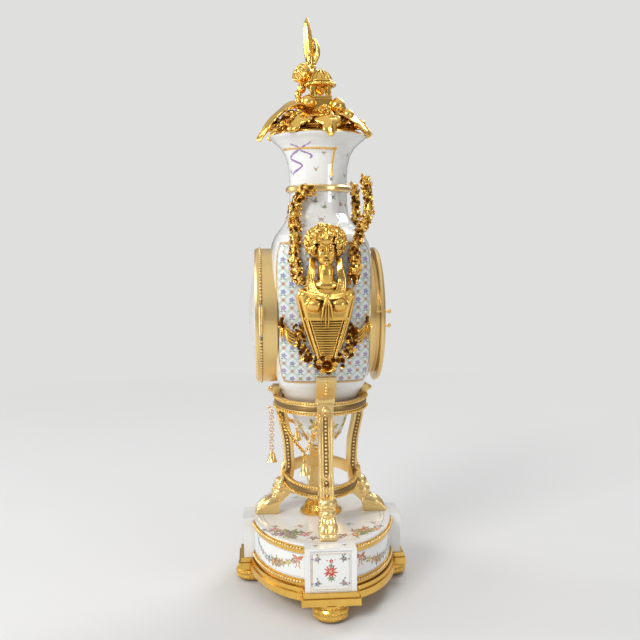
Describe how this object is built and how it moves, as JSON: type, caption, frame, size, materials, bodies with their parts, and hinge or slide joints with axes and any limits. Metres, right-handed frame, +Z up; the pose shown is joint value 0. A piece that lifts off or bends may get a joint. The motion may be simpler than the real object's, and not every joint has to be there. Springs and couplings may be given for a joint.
{
  "type": "mantel clock",
  "caption": "Porcelain urn mantel clock with gilt mounts: porcelain base on turned feet, footed stand, vase body with bezel, movement, figures, chains and a trophy finial.",
  "frame": {"origin": "centre of the base at table level, under the vase's axis", "axes": "+X to the right seen from the dial side, +Y to the rear door, +Z up; the dial faces -Y"},
  "size_m": [0.242, 0.173, 0.5595],
  "materials": {
    "gilt": "burnished gilt bronze",
    "worn_gilt": "chased, matt gilt bronze",
    "porcelain": "painted glaze",
    "enamel": "white enamel",
    "glass": "polished",
    "steel": "polished",
    "blued_steel": "blued",
    "brass": "satin",
    "bell_metal": "turned"
  },
  "bodies": {
    "clock": {"foot_front": "worn_gilt", "foot_back": "worn_gilt", "foot_left": "worn_gilt", "foot_right": "worn_gilt", "plinth_frame": "gilt", "base_porcelain": "porcelain", "base_bead_bands": "gilt", "base_boss": "gilt", "base_bolts": "gilt", "stand_upper_ring": "gilt", "stand_lower_ring": "gilt", "leg_front": "gilt", "leg_back": "gilt", "leg_left": "gilt", "leg_right": "gilt", "leg_rosettes": "gilt", "body_cradle": "gilt", "swag_chain_left": "worn_gilt", "swag_chain_right": "worn_gilt", "vase_body": "porcelain", "lower_bulb": "porcelain", "bulb_knob": "gilt", "neck_ring": "gilt", "lid_cap": "worn_gilt", "finial_fixings": "worn_gilt", "finial_torch": "worn_gilt", "finial_hat": "worn_gilt", "finial_flowers": "worn_gilt", "figure_left": "worn_gilt", "figure_right": "worn_gilt", "garland_left": "worn_gilt", "garland_right": "worn_gilt", "body_swags": "worn_gilt", "bezel_housing": "gilt", "hinge_pins": "steel", "dial": "enamel", "rear_ring": "gilt", "front_plate": "brass", "back_plate": "brass", "strike_bell": "bell_metal", "movement_straps": "brass"},
    "bezel_door": {"bezel_door": "gilt", "dial_glass": "glass"},
    "rear_door": {"rear_door": "gilt"},
    "rear_catch": {"rear_catch": "gilt"},
    "minute_hand": {"minute_hand": "blued_steel"},
    "hour_hand": {"hour_hand": "blued_steel"},
    "minute_wheel": {"minute_wheel": "brass"},
    "escape_wheel": {"escape_wheel": "brass"},
    "third_wheel": {"third_wheel": "brass"},
    "centre_wheel": {"centre_wheel": "brass"},
    "going_barrel": {"going_barrel": "brass"},
    "strike_barrel": {"strike_barrel": "brass"},
    "pendulum": {"pendulum": "brass"},
    "anchor": {"anchor": "steel"},
    "hammer": {"hammer": "steel"},
    "bell_front": {"bell_front": "gilt", "chain_front": "worn_gilt"},
    "bell_left": {"bell_left": "gilt"},
    "bell_right": {"bell_right": "gilt"}
  },
  "joints": [
    {"name": "bezel_door_hinge", "type": "hinge", "parent": "clock", "child": "bezel_door", "pos_m": [0.06886, -0.05895, 0.268], "axis": [0, 0, 1], "range_deg": [0, 110]},
    {"name": "rear_door_hinge", "type": "hinge", "parent": "clock", "child": "rear_door", "pos_m": [-0.06886, 0.05325, 0.268], "axis": [0, 0, 1], "range_deg": [0, 100]},
    {"name": "rear_catch_turn", "type": "hinge", "parent": "rear_door", "child": "rear_catch", "pos_m": [0.06258, 0.0573, 0.2746], "axis": [0, 1, 0], "range_deg": [0, 90]},
    {"name": "minute_hand_turn", "type": "hinge", "parent": "clock", "child": "minute_hand", "pos_m": [0, -0.05, 0.268], "axis": [0, 1, 0], "continuous": true},
    {"name": "hour_hand_turn", "type": "hinge", "parent": "clock", "child": "hour_hand", "pos_m": [0, -0.05, 0.268], "axis": [0, 1, 0], "continuous": true},
    {"name": "minute_wheel_turn", "type": "hinge", "parent": "clock", "child": "minute_wheel", "pos_m": [0, -0.05, 0.28], "axis": [0, 1, 0], "continuous": true},
    {"name": "escape_wheel_turn", "type": "hinge", "parent": "clock", "child": "escape_wheel", "pos_m": [-0.00197, -0.03, 0.29777], "axis": [0, 1, 0], "continuous": true},
    {"name": "third_wheel_turn", "type": "hinge", "parent": "clock", "child": "third_wheel", "pos_m": [0.00962, -0.03, 0.28467], "axis": [0, 1, 0], "continuous": true},
    {"name": "centre_wheel_turn", "type": "hinge", "parent": "clock", "child": "centre_wheel", "pos_m": [0, -0.03, 0.268], "axis": [0, 1, 0], "continuous": true},
    {"name": "going_barrel_turn", "type": "hinge", "parent": "clock", "child": "going_barrel", "pos_m": [0.01904, -0.03, 0.25203], "axis": [0, 1, 0], "continuous": true},
    {"name": "strike_barrel_turn", "type": "hinge", "parent": "clock", "child": "strike_barrel", "pos_m": [-0.01904, -0.03, 0.25203], "axis": [0, 1, 0], "continuous": true},
    {"name": "pendulum_swing", "type": "hinge", "parent": "clock", "child": "pendulum", "pos_m": [-0.00197, 0, 0.30999], "axis": [0, 1, 0], "range_deg": [-4, 4]},
    {"name": "anchor_rock", "type": "hinge", "parent": "clock", "child": "anchor", "pos_m": [-0.00197, -0.03, 0.30999], "axis": [0, 1, 0], "range_deg": [-4, 4]},
    {"name": "hammer_lift", "type": "hinge", "parent": "clock", "child": "hammer", "pos_m": [0.03843, 0.0125, 0.25964], "axis": [0, 1, 0], "range_deg": [-20, 5]},
    {"name": "front_bell_swing", "type": "hinge", "parent": "clock", "child": "bell_front", "pos_m": [0, -0.0491, 0.17425], "axis": [0, 1, 0], "range_deg": [-20, 20]},
    {"name": "right_bell_swing", "type": "hinge", "parent": "clock", "child": "bell_right", "pos_m": [0.07205, -0.02021, 0.13633], "axis": [0.9419, 0.336, 0], "range_deg": [-15, 15]},
    {"name": "left_bell_swing", "type": "hinge", "parent": "clock", "child": "bell_left", "pos_m": [-0.07205, -0.02021, 0.13633], "axis": [-0.9419, 0.336, 0], "range_deg": [-15, 15]}
  ],
  "couplings": [
    {"joint": "hour_hand_turn", "follows": "minute_hand_turn", "ratio": 0.083333},
    {"joint": "minute_wheel_turn", "follows": "minute_hand_turn", "ratio": -0.33333},
    {"joint": "third_wheel_turn", "follows": "escape_wheel_turn", "ratio": -0.16667},
    {"joint": "centre_wheel_turn", "follows": "escape_wheel_turn", "ratio": 0.027778},
    {"joint": "going_barrel_turn", "follows": "escape_wheel_turn", "ratio": -0.0046296},
    {"joint": "anchor_rock", "follows": "pendulum_swing", "ratio": 1}
  ]
}
